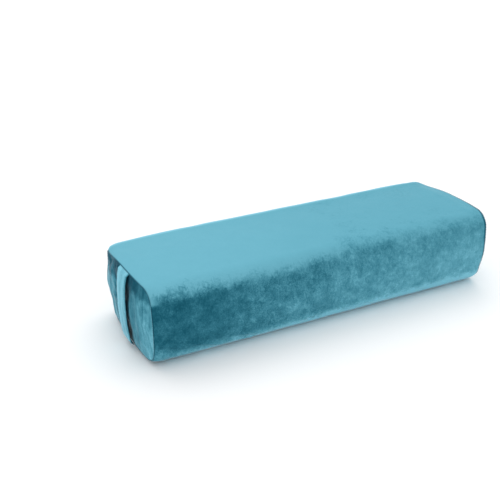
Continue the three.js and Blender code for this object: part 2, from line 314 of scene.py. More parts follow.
def capped_faces(rows, columns):
    """The quads of a bar whose rings are the rows of a grid, and its two end caps."""
    faces = [list(f) for f in grid_faces(rows, columns, closed_columns=True)]
    return faces + [list(range(columns))[::-1], [(rows - 1) * columns + i for i in range(columns)]]


def stand_for(piece, node):
    """The piece takes a CAD node's place, whose part is hidden. The piece itself is not used here."""
    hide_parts(node)


# ---- grids of points
def finer(points, axis, closed=False):
    """Twice the points along one axis of a grid, by the smooth four-point rule."""
    p = np.moveaxis(points, axis, 0)
    if closed:
        before, after, far = np.roll(p, 1, 0), np.roll(p, -1, 0), np.roll(p, -2, 0)
        middle = (9 * (p + after) - before - far) / 16
        out = np.stack([p, middle], 1).reshape(-1, *p.shape[1:])
    else:
        padded = np.concatenate([2 * p[:1] - p[1:2], p, 2 * p[-1:] - p[-2:-1]])
        middle = (9 * (padded[1:-2] + padded[2:-1]) - padded[:-3] - padded[3:]) / 16
        out = np.stack([p[:-1], middle], 1).reshape(-1, *p.shape[1:])
        out = np.concatenate([out, p[-1:]])
    return np.moveaxis(out, 0, axis)


def normals(grid, closed=False):
    """Unit normals of a grid of points, from its rows (x) and columns (s)."""
    if closed:
        across = np.roll(grid, -1, 1) - np.roll(grid, 1, 1)
    else:
        across = np.gradient(grid, axis=1)
    n = np.cross(across, np.gradient(grid, axis=0))
    return n / np.maximum(np.linalg.norm(n, axis=-1, keepdims=True), 1e-9)


def broad(grid, reach):
    """A grid's values averaged along its rows, over reach rows each way."""
    padded = np.concatenate([grid[:1].repeat(reach, 0), grid, grid[-1:].repeat(reach, 0)])
    return sum(padded[k:k + len(grid)] for k in range(2 * reach + 1)) / (2 * reach + 1)


def thicken(sheet):
    """Gives a sheet of velvet its thickness, inward."""
    modifier = sheet.modifiers.new("cloth_thickness", "SOLIDIFY")
    modifier.thickness = CLOTH_T * MM
    modifier.offset = -1


# ---- the velvet cover
COLUMNS, ROWS, END_COLUMNS = 121, 103, 180
CLOTH_T = 1.3
ROWS_EVEN = 0.72  # the body's rows lie this evenly, and the rest of their spacing narrows towards the ends
ROLL = 24.0  # how far from the seam the cover starts to roll into it
ROLL_POWER = 2.5
ZIP_ROLL, ZIP_FLAT, ZIP_EASE = 9.0, 16.0, 20.0  # beside the zipper, whose tapes keep the cloth flat
SEAM_BACK = 0.8  # from the CAD dome in to the end seam
END_SPREAD = 70.0  # the ends' swell fades over this length of the body
# The left (-1) and right (1) end at stops that go round from the back's middle over the top, in turns: back,
# back top corner, top, front top corner, front, front bottom corner, base, back bottom corner. The rows are
# the seam's depth, its pull-in, and the cover's sag towards the end, which reaches further than the roll.
STOPS = np.array([0, 0.09, 0.25, 0.41, 0.5, 0.59, 0.75, 0.91])
TOP_STOP, BASE_STOP = 2, 6
SEAMS = {
    -1: np.array([
        [3, 11, 1.8, 3, 1.8, 5, 10, 9],
        [0.5, 0, 0, 0.6, 0, 1.5, 3.5, 4.5],
        [0.5, 4.5, 0.5, 0.3, 0, 0, 0, 0],
    ]),
    1: np.array([
        [3, 7, 2, 0.4, 0.6, 3, 4.5, 5],
        [1, 0.5, 0.5, -3, -2, 0.5, 1, 1.5],
        [0, 0.5, 0.5, 0, 0, 0, 0, 0],
    ]),
}
SAG_REACH = 150.0
# The back top roll is fuller than the CAD's round corner, and the front bottom roll is tucked under.
SHOULDER, TUCK, ROLL_WIDTH = 4.0, 3.0, 26.0
SHOULDER_S = SIDE_R * (SIDE_A - ZIP_A) + CORNER_R * (math.pi / 2 - TOP_A - SIDE_A) / 2
TUCK_S = AROUND - SIDE_R * (SIDE_A + ZIP_A) - 2 * CORNER_Y - 1.5 * CORNER_R * (math.pi / 2 - SIDE_A)
# The end panels are rings, from the seam at 1 to the middle at 0.
END_RINGS = (1, 0.985, 0.95, 0.9, 0.84, 0.76, 0.66, 0.54, 0.42, 0.3, 0.2, 0.1)
END_FLAT = 0.75  # how much of the seam's wander an end panel loses by its middle
PUFF, PUFF_RIM = 1.8, 0.86  # how far the end panels swell past their CAD dome, and the ring where it fades
CAP = 2.5  # the furthest that the cloth simulation may move a point
CLOTH_PRESSURE, CLOTH_SHRINK, CLOTH_BENDING, CLOTH_STEPS = 4, -0.004, 4, 20
FOLD_SHARE, FOLD_REACH = 0.7, 8  # how much of the simulated folds the body keeps, and the rows they span


def seam_values(s, hand):
    """The section at distances s, and the end seam's depth, pull-in and sag there, eased round the end."""
    y, z, ny, nz = section(s)
    turn = np.mod(np.arctan2((z - HEIGHT / 2) / HEIGHT, y / WIDTH) / (2 * math.pi), 1)
    stops = np.append(STOPS, 1)
    k = np.clip(np.searchsorted(stops, turn, side="right") - 1, 0, len(STOPS) - 1)
    t = smooth((turn - stops[k]) / (stops[k + 1] - stops[k]))
    left, right = (SEAMS[side][:, k] * (1 - t) + np.roll(SEAMS[side], -1, 1)[:, k] * t for side in (-1, 1))
    depth, pull, sag = np.where(hand < 0, left, right)
    return y, z, ny, nz, depth, pull, sag


def tucked(s):
    """How far the rolls lie inside the CAD section, or outside it where this is negative."""
    shoulder, tuck = (np.exp(-((s - at) / ROLL_WIDTH) ** 2) for at in (SHOULDER_S, TUCK_S))
    return TUCK * tuck - SHOULDER * shoulder


def body_surface(x, s, inset=0.0):
    """The cover's surface at length x (before the ends' swell) and section distance s, or inset below it."""
    hand = np.where(x < 0, -1, 1)
    y0, z0, ny, nz, depth, pull, sag = seam_values(s, hand)
    left = LENGTH / 2 - np.abs(x)
    by_zip = 1 - smooth((np.minimum(s, AROUND - s) - ZIP_FLAT) / ZIP_EASE)
    u = 1 - np.clip(left / (ROLL + (ZIP_ROLL - ROLL) * by_zip), 0, 1)
    rolled = depth * (1 - np.sqrt(np.maximum(0, 1 - u ** ROLL_POWER)))
    below = inset + rolled + sag * np.maximum(0, 1 - left / SAG_REACH) ** 2 + tucked(s)
    out = bow(y0, z0) - SEAM_BACK - pull
    return np.stack([x + hand * out * smooth(1 - left / END_SPREAD), y0 - below * ny, z0 - below * nz], -1)


def end_grid(hand, count, inset=0.0, puff=PUFF, rings=END_RINGS):
    """Rings of points from the end seam to the end's middle."""
    s = np.linspace(0, AROUND, count, endpoint=False)
    y0, z0, ny, nz, depth, pull, sag = seam_values(s, hand)
    below = depth + sag + inset + tucked(s)
    sy, sz = y0 - below * ny, z0 - below * nz
    sx = hand * (LENGTH / 2 + bow(y0, z0) - SEAM_BACK - pull - inset)
    rows = []
    for u in rings:
        y, z = sy * u, HEIGHT / 2 + (sz - HEIGHT / 2) * u
        flat = END_FLAT * (1 - u * u)
        lift = puff * (1 - max(0, (u - PUFF_RIM) / (1 - PUFF_RIM)) ** 2)
        x = sx + flat * (hand * (LENGTH / 2 - SEAM_BACK) - sx) + hand * (bow(y, z) - bow(sy, sz) + lift)
        rows.append(np.stack([x, y, z], -1))
    return np.array(rows)


def simulate(points, faces, pinned):
    """Cloth that swells against its pinned points. Returns how far each point moved, in millimetres."""
    mesh = bpy.data.meshes.new("cloth_trial")
    corner = points[faces]
    facing = np.cross(corner[:, 2] - corner[:, 0], corner[:, 3] - corner[:, 1])
    inward = (facing * (corner.mean(1) - [0, 0, HEIGHT / 2])).sum(1) < 0
    faces[inward] = faces[inward][:, ::-1]
    mesh.from_pydata((points * MM).tolist(), [], faces.tolist())
    obj = bpy.data.objects.new("cloth_trial", mesh)
    bpy.context.scene.collection.objects.link(obj)
    group = obj.vertex_groups.new(name="pinned")
    for level in np.unique(pinned[pinned > 0]):
        group.add([int(i) for i in np.nonzero(pinned == level)[0]], float(level), "REPLACE")
    cloth = obj.modifiers.new("cloth", "CLOTH")
    cloth.settings.vertex_group_mass = "pinned"
    cloth.settings.use_pressure = True
    cloth.settings.uniform_pressure_force = CLOTH_PRESSURE
    cloth.settings.shrink_min = CLOTH_SHRINK
    cloth.settings.bending_stiffness = CLOTH_BENDING
    cloth.settings.effector_weights.gravity = 0
    cloth.point_cache.frame_start, cloth.point_cache.frame_end = 1, CLOTH_STEPS
    for frame_number in range(1, CLOTH_STEPS + 1):
        bpy.context.scene.frame_set(frame_number)
    done = obj.evaluated_get(bpy.context.evaluated_depsgraph_get())
    moved = np.empty(len(points) * 3)
    done.data.vertices.foreach_get("co", moved)
    moved = moved.reshape(-1, 3) / MM
    bpy.data.objects.remove(obj)
    bpy.context.scene.frame_set(1)
    step = moved - points
    size = np.linalg.norm(step, axis=1, keepdims=True)
    return step * np.minimum(1, CAP / np.maximum(size, 1e-9))


def crease(along, across, a, b, width, height):
    """A soft fold from a to b over (along, across) places: a ridge with a valley beside it."""
    a, b = np.array(a), np.array(b)
    length = np.linalg.norm(b - a)
    way = (b - a) / length
    t = ((along - a[0]) * way[0] + (across - a[1]) * way[1]) / length
    d = (-(along - a[0]) * way[1] + (across - a[1]) * way[0]) / width
    fade = smooth(t / 0.3 + 0.5) * smooth((1 - t) / 0.3 + 0.5)
    return height * fade * np.exp(-d * d) * (0.45 + 1.5 * d)


def noise_field(points, size, seed):
    """Smooth noise of about +-1 at points, whose largest features are size across."""
    away = Vector((seed, 2.3 * seed, 0))
    return np.array([noise.fractal(Vector(p) / size + away, 0.5, 2.0, 3) for p in points])


# Soft folds, each from one place to another, with its width and height. On the front face: (x, z).
FRONT_Y = -60.0
FRONT_FOLDS = [
    ((-266, 33), (-208, 13), 4.5, 2.0),
    ((-197, 23), (-150, 12), 3.6, -2.0),
    ((-62, 19), (-14, 30), 4.5, 1.7),
    ((-322, 42), (-270, 26), 7.0, 1.0),
    ((60, 22), (118, 16), 5.0, 1.0),
    ((190, 20), (240, 30), 6.0, 0.9),
    ((226, 133), (334, 128), 7.0, -1.1),
    ((-326, 96), (-300, 60), 9.0, 0.7),
]
# On each end, as seen from outside: (distance to the left of its middle, z).
END_FOLDS = [
    ((30, 141), (92, 96), 9.0, -2.2),
    ((45, 118), (60, 30), 6.0, 1.0),
    ((72, 92), (84, 24), 7.0, -0.9),
    ((-22, 128), (-27, 40), 6.5, 1.8),
    ((-58, 120), (-66, 30), 9.0, -1.2),
    ((-88, 110), (-80, 50), 8.0, 0.9),
]
PUCKER, SEAM_REACH = 0.45, 11.0  # the end seams gather the cloth this much, over this length
ZIP_PUCKER, ZIP_GATHER, ZIP_REACH = 0.35, 13.0, 6.0  # and the zipper's stitches, this far from its middle
ZIP_LIP, STITCH_DIP = 1.5, 0.5  # how far the cloth turns in at the slot, and under its stitches
BODY_WAVE, WAVE_SIZE, WAVE_SEED = 0.5, 95, 3  # broad unevenness of the body panel
END_RIPPLE, UNDER_STRAP = 0.4, 0.4  # an end's small waves, and how far its strap presses it in


def seam_puckers(x, s, z):
    left = LENGTH / 2 - np.abs(x)
    reach = np.exp(-left / SEAM_REACH) * smooth(left / 4) * (1 - 0.8 * smooth((z - 105) / 30))
    return PUCKER * reach * np.sin(s / 4.1 + 1.7 * np.sin(s / 19)) * (0.5 + 0.5 * np.sin(s / 37 + 1))


def zip_puckers(x, s):
    """The cloth's turned edge, its stitch line and the gathers beside the zipper."""
    gap = np.minimum(s, AROUND - s)
    lip = ZIP_LIP * (1 - smooth((gap - SLOT / 2) / 2))
    dip = STITCH_DIP * np.exp(-((gap - STITCH_ROW) / 1.1) ** 2)
    dip *= 0.7 + 0.3 * np.cos(x * 2 * math.pi / STITCH)
    gather = ZIP_PUCKER * np.exp(-((gap - ZIP_GATHER) / ZIP_REACH) ** 2)
    return gather * np.sin(x / 3.3 + 2 * np.sin(x / 23)) - lip - dip


def body_folds(x, s, y, z):
    """How far the body panel stands out from its smooth shape."""
    push = seam_puckers(x, s, z) + zip_puckers(x, s)
    for a, b, width, height in FRONT_FOLDS:
        push += np.where(y < FRONT_Y, crease(x, z, a, b, width, height), 0)
    return push


def end_folds(hand, y, z, rim):
    """How far an end panel stands out from its smooth shape. rim is 1 at the seam and 0 inside."""
    push = END_RIPPLE * np.sin(y / 5.2 + 1.3 * np.sin(z / 31))
    for a, b, width, height in END_FOLDS:
        push += crease(hand * -y, z, a, b, width, height)
    under_strap = 1 - smooth((np.abs(y - STRAP_Y) - 16) / 10)
    return (push * (1 - 0.7 * under_strap) - UNDER_STRAP * under_strap) * (1 - rim)


def body_grids():
    """The body panel's x and section distances."""
    s = np.linspace(SLOT / 2, AROUND - SLOT / 2, COLUMNS)
    x = np.linspace(-1, 1, ROWS)
    narrowing = np.sign(x) * (1 - (1 - np.abs(x)) ** 2)
    x = LENGTH / 2 * (ROWS_EVEN * x + (1 - ROWS_EVEN) * narrowing)
    return np.meshgrid(x, s, indexing="ij")


def body_pins(body, gx, gs):
    """How firmly each point is held: 1 at the seams, the zipper and the base, 0 where the cloth is free."""
    by_seam = 1 - smooth((LENGTH / 2 - np.abs(gx) - 4) / 14)
    by_zip = 1 - smooth((np.minimum(gs, AROUND - gs) - 12) / 20)
    by_base = 1 - smooth((body[..., 2] - 1) / 16)
    return np.max([by_seam, by_zip, by_base], axis=0)


def swell(body, ends, gx, gs):
    """The body's and the ends' grids after one cloth simulation of the whole cover."""
    rings = len(END_RINGS)
    points, faces = [body.reshape(-1, 3)], [grid_faces(ROWS, COLUMNS)]
    pins = [body_pins(body, gx, gs).ravel()]
    for hand in (-1, 1):
        start = sum(len(p) for p in points)
        points.append(ends[hand].reshape(-1, 3))
        faces.append(grid_faces(rings, END_COLUMNS, closed_columns=True)[:, ::hand] + start)
        pins.append(np.repeat(1 - smooth((np.arange(rings) - 1) / 3), END_COLUMNS))
    pinned = np.round(np.concatenate(pins), 1)
    step = simulate(np.concatenate(points), np.concatenate(faces), pinned)
    # The CAD section is the filled shape already, so the body keeps only the folds, not the broad swell.
    folds = step[:ROWS * COLUMNS].reshape(ROWS, COLUMNS, 3)
    folds = broad(folds - broad(folds, FOLD_REACH), 1)
    body = body + FOLD_SHARE * folds * (1 - pinned[:ROWS * COLUMNS].reshape(ROWS, COLUMNS, 1))
    body[..., 2] = np.maximum(body[..., 2], 0)
    steps = step[ROWS * COLUMNS:].reshape(2, rings, END_COLUMNS, 3)
    return body, {-1: ends[-1] + steps[0], 1: ends[1] + steps[1]}


def add_panel(body, gx, gs, material):
    """The body panel: its grid made finer, with folds everywhere but on the base."""
    for axis in (0, 1):
        body, gx, gs = finer(body, axis), finer(gx, axis), finer(gs, axis)
    out = normals(body)
    out *= np.sign((out[..., 1] * body[..., 1]).sum())
    where = np.stack([gx, body[..., 1], body[..., 2]], -1).reshape(-1, 3)
    push = body_folds(gx, gs, body[..., 1], body[..., 2])
    push += BODY_WAVE * noise_field(where, WAVE_SIZE, WAVE_SEED).reshape(gx.shape)
    body = body + out * (push * smooth(body[..., 2] / 6))[..., None]
    body[..., 2] = np.maximum(body[..., 2], 0)
    panel = make("velvet_body_panel", body.reshape(-1, 3), grid_faces(*gx.shape), material)
    thicken(panel)
    stand_for(panel, "cover_body_panel")


def add_end(grid, hand, name, material):
    """An end panel: its rings made finer, with folds, and closed at the middle."""
    grid = finer(finer(grid, 0), 1, closed=True)
    rows, columns = grid.shape[:2]
    rim = smooth(1 - np.arange(rows) / 7)[:, None] * np.ones(columns)
    grid[..., 0] += hand * end_folds(hand, grid[..., 1], grid[..., 2], rim)
    verts = np.concatenate([grid.reshape(-1, 3), grid[-1].mean(0)[None]])
    faces = [list(f) for f in grid_faces(rows, columns, closed_columns=True)]
    last = (rows - 1) * columns
    faces += [[last + i, last + (i + 1) % columns, len(verts) - 1] for i in range(columns)]
    end = make(f"velvet_{name}_end", verts, faces, material)
    thicken(end)
    stand_for(end, f"cover_{name}_end")


def build_cover(material, end_material):
    """The three panels."""
    gx, gs = body_grids()
    body = body_surface(gx, gs)
    ends = {hand: end_grid(hand, END_COLUMNS) for hand in (-1, 1)}
    body, ends = swell(body, ends, gx, gs)
    add_panel(body, gx, gs, material)
    add_end(ends[-1], -1, "left", end_material)
    add_end(ends[1], 1, "right", end_material)


# ---- tubes, stitches, bands
def frames_along(path):
    """Two unit directions across a path of points."""
    way = np.gradient(path, axis=0)
    way /= np.maximum(np.linalg.norm(way, axis=1, keepdims=True), 1e-9)
    up = np.where(np.abs(way[:, 2:3]) > 0.9, [[1.0, 0, 0]], [[0, 0, 1.0]])
    side = np.cross(way, up)
    side /= np.linalg.norm(side, axis=1, keepdims=True)
    return side, np.cross(side, way)


def tube(path, radius, around=6):
    """Points and faces of a closed tube along a path. radius is a number or one per point."""
    side, up = frames_along(path)
    a = np.linspace(0, 2 * math.pi, around, endpoint=False)
    r = np.broadcast_to(radius, (len(path),))[:, None, None]
    cos, sin = np.cos(a)[None, :, None], np.sin(a)[None, :, None]
    rings = path[:, None] + r * (cos * side[:, None] + sin * up[:, None])
    return rings.reshape(-1, 3), capped_faces(len(path), around)


def join(parts):
    """One list of points and faces from several."""
    verts, faces, start = [], [], 0
    for points, polys in parts:
        verts.append(points)
        faces += [[start + i for i in p] for p in polys]
        start += len(points)
    return np.concatenate(verts), faces


def stitches(path, out, length, radius):
    """Separate stitches laid along a path, their ends dipping into the cloth along -out."""
    parts = []
    step = np.linalg.norm(np.diff(path, axis=0), axis=1)
    walked = np.concatenate([[0], np.cumsum(step)])
    for k in range(int(walked[-1] // STITCH)):
        at = (k + 0.5) * STITCH + np.linspace(-0.5, 0.5, 6) * length
        line = np.stack([np.interp(at, walked, path[:, i]) for i in range(3)], 1)
        normal = np.stack([np.interp(at, walked, out[:, i]) for i in range(3)], 1)
        t = np.linspace(-1, 1, 6)
        line = line - normal * (0.5 * radius + 1.2 * radius * t ** 4)[:, None]
        parts.append(tube(line, radius * np.sqrt(1.05 - t ** 4), 6))
    return join(parts)


def section_points(x, s, inset):
    """Points at length x and section distance s, inset below the CAD section."""
    return np.stack(np.broadcast_arrays(x, *section(s, inset)[:2]), -1)


def section_out(x, s):
    """The section's outward directions there."""
    return np.stack(np.broadcast_arrays(0 * x, *section(s)[2:]), -1)


def band(outline, xs, name, material):
    """A strip along the zipper with a closed outline of (s, inset) points."""
    ring_s, ring_d = np.array(outline).T
    verts = np.concatenate([section_points(x, ring_s, ring_d) for x in xs])
    return make(name, verts, capped_faces(len(xs), len(outline)), material)


# ---- seams and zipper
SEAM_STITCH, SEAM_THREAD_R = 2.5, 0.32
SEAM_PROUD, SEAM_FLOOR = 0.35, 0.8  # they stand out of the cover's rolls, and stay this far above the base
ROW_THREAD_R, ROW_INSET = 0.3, 0.15
# The upper tape's outline, as (distance from the zipper's middle, depth), with ribs along its inner edge.
TAPE_OUTLINE = [
    (0.6, 1.95), (1.0, 1.82), (3.0, 1.82), (3.4, 1.95), (3.9, 1.98), (4.3, 1.88), (4.7, 1.98),
    (6, 2.0), (9, 2.0), (12, 2.0), (14, 1.95), (14.7, 1.95), (15, 2.1), (15, 2.3),
    (14.7, 2.4), (10, 2.4), (5, 2.4), (0.8, 2.4), (0.6, 2.25),
]
COIL_PITCH, WIRE_R = 1.3, 0.27
COIL_MIDDLE, COIL_REACH = 1.45, 1.35  # across the zipper
COIL_DEPTH, COIL_RISE = 0.82, 0.5  # and through it


def build_seams(material):
    for hand, name in ((-1, "left"), (1, "right")):
        s = np.linspace(0, AROUND, 700)
        y0, z0, ny, nz, depth, pull, sag = seam_values(s, hand)
        below = depth + sag + tucked(s) - SEAM_PROUD
        x = hand * (LENGTH / 2 + bow(y0, z0) - FIT - pull)
        path = np.stack([x, y0 - below * ny, z0 - below * nz], 1)
        path[:, 2] = np.maximum(path[:, 2], SEAM_FLOOR)
        out = np.stack([hand * 0.5 + 0 * ny, 0.86 * ny, 0.86 * nz], 1)
        sewn = stitches(path, out, SEAM_STITCH, SEAM_THREAD_R)
        stand_for(make(f"{name}_end_seam_stitches", *sewn, material), f"{name}_end_seam_thread")


def coil_path(hand):
    """One coil's wire, wound along its side of the zipper. The lower coil's turns lie between the upper's."""
    turns = int(2 * COIL_HALF / COIL_PITCH)
    phi = np.linspace(0, turns * 2 * math.pi, turns * 11)
    x = -COIL_HALF + COIL_PITCH * phi / (2 * math.pi) + (COIL_PITCH / 2 if hand < 0 else 0)
    s = hand * (COIL_MIDDLE + COIL_REACH * np.cos(phi))
    return section_points(x, s, COIL_DEPTH - COIL_RISE * np.sin(phi))


def build_zipper(tape, coil, thread):
    for hand, name in ((1, "upper"), (-1, "lower")):
        outline = [(hand * s, d) for s, d in TAPE_OUTLINE][::hand]
        strip = band(outline, np.linspace(-TAPE_HALF, TAPE_HALF, 200), f"woven_tape_{name}", tape)
        stand_for(strip, f"zipper_tape_{name}")
        teeth = make(f"coil_teeth_{name}", *tube(coil_path(hand), WIRE_R, 5), coil)
        stand_for(teeth, f"zipper_coil_{name}")
        x = np.linspace(1 - TAPE_HALF, TAPE_HALF - 1, 600)
        s = np.full(600, hand * STITCH_ROW)
        sewn = stitches(section_points(x, s, ROW_INSET), section_out(x, s), SEAM_STITCH, ROW_THREAD_R)
        rows = make(f"tape_stitches_{name}", *sewn, thread)
        stand_for(rows, f"zipper_stitching_{name}")


# ---- straps
STRAP_ROWS, STRAP_COLUMNS = 61, 40
STRAP_HALF = STRAP_W / 2 - 0.6
STRAP_WAIST, STRAP_LEAN = 0.035, 1.2  # it narrows at its middle, and leans
STRAP_TUCK, TUCK_SHARE = 3.2, 0.035  # its ends run into the seams this deep, over this share of it
STRAP_FOLD, STRAP_VALLEY, STRAP_SLUMP = 0.55, 0.35, 0.5  # one fold along it, and its edges' slump
STRAP_STITCH, STRAP_THREAD_R, STRAP_MARGIN = 2.4, 0.26, 3.0
STRAP_BED, STITCH_FREE = 0.31, 0.02  # how deep its stitches lie, and the share at each end without them


def strap_path(hand, t):
    """The x and z of the strap's middle layer, at t from the bottom seam to the top seam."""
    depth, _, sag = SEAMS[hand]
    low = depth[BASE_STOP] + sag[BASE_STOP] + 1.4
    high = HEIGHT - depth[TOP_STOP] - sag[TOP_STOP] - 0.8
    z = low + (high - low) * t
    face = LENGTH / 2 + bow(0, z) + FIT
    hug = np.where(t < 0.5, 2.2, 4.0)  # the strap lies closer to the end below its middle
    lift = STRAP_LIFT * (1 - np.abs(2 * t - 1) ** hug)
    tuck = STRAP_TUCK * (smooth(1 - t / TUCK_SHARE) + smooth(1 - (1 - t) / TUCK_SHARE))
    return hand * (face + lift + STRAP_T / 2 - tuck), z


def strap_y(t, across):
    return STRAP_Y + across * (1 - STRAP_WAIST * (1 - (2 * t - 1) ** 2)) + STRAP_LEAN * (0.5 - t)


def strap_rings(hand, t):
    """Rings of points round the strap's rounded, slightly folded band, at each t."""
    a = np.linspace(0, 2 * math.pi, STRAP_COLUMNS, endpoint=False)
    across = STRAP_HALF * np.sign(np.cos(a)) * np.abs(np.cos(a)) ** 0.45
    thick = (STRAP_T / 2 - 0.1) * np.sign(np.sin(a)) * np.abs(np.sin(a)) ** 0.7
    fold = STRAP_FOLD * np.exp(-((across - 8) / 2.6) ** 2) - STRAP_VALLEY * np.exp(-((across - 2) / 4) ** 2)
    fold -= STRAP_SLUMP * (across / STRAP_HALF) ** 4
    rings = []
    for k in t:
        x, z = strap_path(hand, k)
        ripple = 0.18 * np.sin(k * 41 + across / 9) * np.sin(k * 17)
        out = thick + fold * (1 - (2 * k - 1) ** 6) + ripple
        rings.append(np.stack([x + hand * out, strap_y(k, across), np.full(STRAP_COLUMNS, z)], 1))
    return np.array(rings)


def strap_stitches(hand, t0, t1):
    """The stitched lines along both edges of the strap."""
    t = np.linspace(max(t0, STITCH_FREE), min(t1, 1 - STITCH_FREE), 120)
    x, z = strap_path(hand, t)
    x = x + hand * (STRAP_T / 2 - 0.05 - STRAP_BED * (1 - (2 * t - 1) ** 6))
    out = np.tile([hand, 0.0, 0.0], (len(t), 1))
    lines = []
    for edge in (-1, 1):
        path = np.stack([x, strap_y(t, edge * (STRAP_HALF - STRAP_MARGIN)), z], 1)
        lines.append(stitches(path, out, STRAP_STITCH, STRAP_THREAD_R))
    return join(lines)


def build_strap(hand, name, material, thread):
    """The strap in two halves, each of which turns smoothly from its seam to the pulled middle."""
    for part, t0, t1, end in (("upper", 0.5, 1.0, HEIGHT), ("lower", 0.0, 0.5, 0.0)):
        step = 0.5 / (STRAP_ROWS - 1)
        rings = strap_rings(hand, np.linspace(t0 - step, t1 + step, STRAP_ROWS + 2))
        # The extra ring beyond each cut gives the two halves the same normals where they meet.
        turned = normals(rings, closed=True)[1:-1].reshape(-1, 3)
        turned *= np.sign(turned[STRAP_ROWS // 2 * STRAP_COLUMNS + STRAP_COLUMNS // 4, 0]) * hand
        faces = capped_faces(STRAP_ROWS, STRAP_COLUMNS)
        strap = make(f"{name}_strap_{part}", rings[1:-1].reshape(-1, 3), faces, material, body=None)
        strap.data.normals_split_custom_set_from_vertices(turned.tolist())
        if part == "upper":
            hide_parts(f"{name}_handle_strap")
        sewn = make(f"{name}_strap_{part}_stitches", *strap_stitches(hand, t0, t1), thread, body=None)
        for piece in (strap, sewn):
            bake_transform(piece)


# ---- inside the cover
SLACK = 4.0  # the stuffing stays this far below the cover, where the cloth rolls in
CASING_IN = COVER_T + FIT + SLACK
WADDING_IN = CASING_IN + CASING_T + FIT
FOAM_IN = COVER_T + CASING_T + BATTING_T + 3 * FIT
WADDING_T = FOAM_IN - FIT - WADDING_IN
FOAM_HALF = 317.5
PAD_FACE = FOAM_HALF + 0.5  # the end pads' flat inner faces
INNER_RINGS = (1, 0.98, 0.94, 0.87, 0.78, 0.66, 0.52, 0.38, 0.24, 0.1)
CAP_RINGS = (0.8, 0.6, 0.4, 0.2)
INNER_PUFF = 0.6
CASING_SHORT, SLEEVE_SHORT = 6.0, 14.0  # how far the casing and the sleeve stop before the end seams
LABEL_S, LABEL_LAYERS = (16.4, 44.0), (1.66, 1.84)  # its stretch of the section, and its faces' depths


def fuzz(points, size, seed, rough):
    """Wadding's uneven surface: how far each point of a grid lies in, up to rough."""
    return rough * (0.5 + 0.5 * noise_field(points.reshape(-1, 3), size, seed).reshape(points.shape[:2]))


def inner_tube(name, node, short, inset, thick, material, rough=0.0):
    """A closed sleeve inside the cover, inset below its outer surface."""
    x = np.linspace(short - LENGTH / 2, LENGTH / 2 - short, 96)
    s = np.linspace(0, AROUND, 150, endpoint=False)
    gx, gs = np.meshgrid(x, s, indexing="ij")
    outer = body_surface(gx, gs, inset)
    inner = body_surface(gx, gs, inset + thick)
    if rough:
        outer -= fuzz(outer, 26, 2, rough)[..., None] * section_out(gx, gs)
    both = np.concatenate([outer, inner[::-1]])
    faces = grid_faces(*both.shape[:2], closed_rows=True, closed_columns=True)
    stand_for(make(name, both.reshape(-1, 3), faces, material), node)


def inner_end(name, node, hand, inset, material, rough=0.0):
    """A sheet of casing across one end, or a rough pad with a flat inner face."""
    outer = end_grid(hand, 150, inset, INNER_PUFF, INNER_RINGS)
    inner = outer.copy()
    if rough:
        outer[..., 0] = hand * np.maximum(np.abs(outer[..., 0]), PAD_FACE + 2)
        outer[..., 0] -= hand * fuzz(outer, 24, 4, rough)
        inner[..., 0] = hand * PAD_FACE
    else:
        inner[..., 0] -= hand * CASING_T
    sheets = np.concatenate([outer[::-1], inner])
    rows, columns = sheets.shape[:2]
    faces = [list(f) for f in grid_faces(rows, columns, closed_columns=True)]
    verts = np.concatenate([sheets.reshape(-1, 3), sheets[0].mean(0)[None], sheets[-1].mean(0)[None]])
    last = (rows - 1) * columns
    for i in range(columns):
        j = (i + 1) % columns
        faces += [[j, i, len(verts) - 2], [last + i, last + j, len(verts) - 1]]
    stand_for(make(name, verts, faces, material), node)


def add_foam(material):
    """The foam block, whose two ends are closed by rings that shrink to a small middle face."""
    x = np.linspace(-FOAM_HALF, FOAM_HALF, 110)
    s = np.linspace(0, AROUND, 130, endpoint=False)
    gx, gs = np.meshgrid(x, s, indexing="ij")
    block = section_points(gx, gs, FOAM_IN)
    middle = np.array([0, 0, HEIGHT / 2])
    ends = [[(row - middle) * (1, u, u) + middle for u in CAP_RINGS] for row in (block[0], block[-1])]
    block = np.concatenate([ends[0][::-1], block, ends[1]])
    foam = make("foam_block", block.reshape(-1, 3), capped_faces(*block.shape[:2]), material)
    stand_for(foam, "foam_core")


def add_label(material):
    """A thin, slightly wavy sheet with two faces, closed round its edges."""
    low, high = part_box("care_label")
    tag_x = np.linspace(low[0] / MM + 0.3, high[0] / MM - 0.3, 50)
    gx, gs = np.meshgrid(tag_x, np.linspace(*LABEL_S, 28), indexing="ij")
    waves = 0.08 * np.sin(gx / 4) * np.sin(gs / 5)
    top, under = (section_points(gx, gs, depth + waves) for depth in LABEL_LAYERS)
    rows, columns = gx.shape
    both = np.concatenate([top, under[::-1]])
    faces = [list(f) for f in grid_faces(2 * rows, columns, closed_rows=True)]
    for column in (0, columns - 1):
        for i in range(rows - 1):
            faces.append([k * columns + column for k in (i, i + 1, 2 * rows - 2 - i, 2 * rows - 1 - i)])
    stand_for(make("satin_label", both.reshape(-1, 3), faces, material), "care_label")


def build_inside(cotton, wadding, foam, label):
    inner_tube("cotton_casing_body", "inner_casing_body", CASING_SHORT, CASING_IN, CASING_T, cotton)
    inner_tube("wadding_sleeve", "batting_sleeve", SLEEVE_SHORT, WADDING_IN, WADDING_T,
               wadding, 1.4)
    for hand, name in ((-1, "left"), (1, "right")):
        casing, pad = f"cotton_casing_{name}_end", f"wadding_{name}_pad"
        inner_end(casing, f"inner_casing_{name}_end", hand, CASING_IN + 1.4, cotton)
        inner_end(pad, f"batting_{name}_pad", hand, WADDING_IN + 1.6, wadding, 1.2)
    add_foam(foam)
    add_label(label)
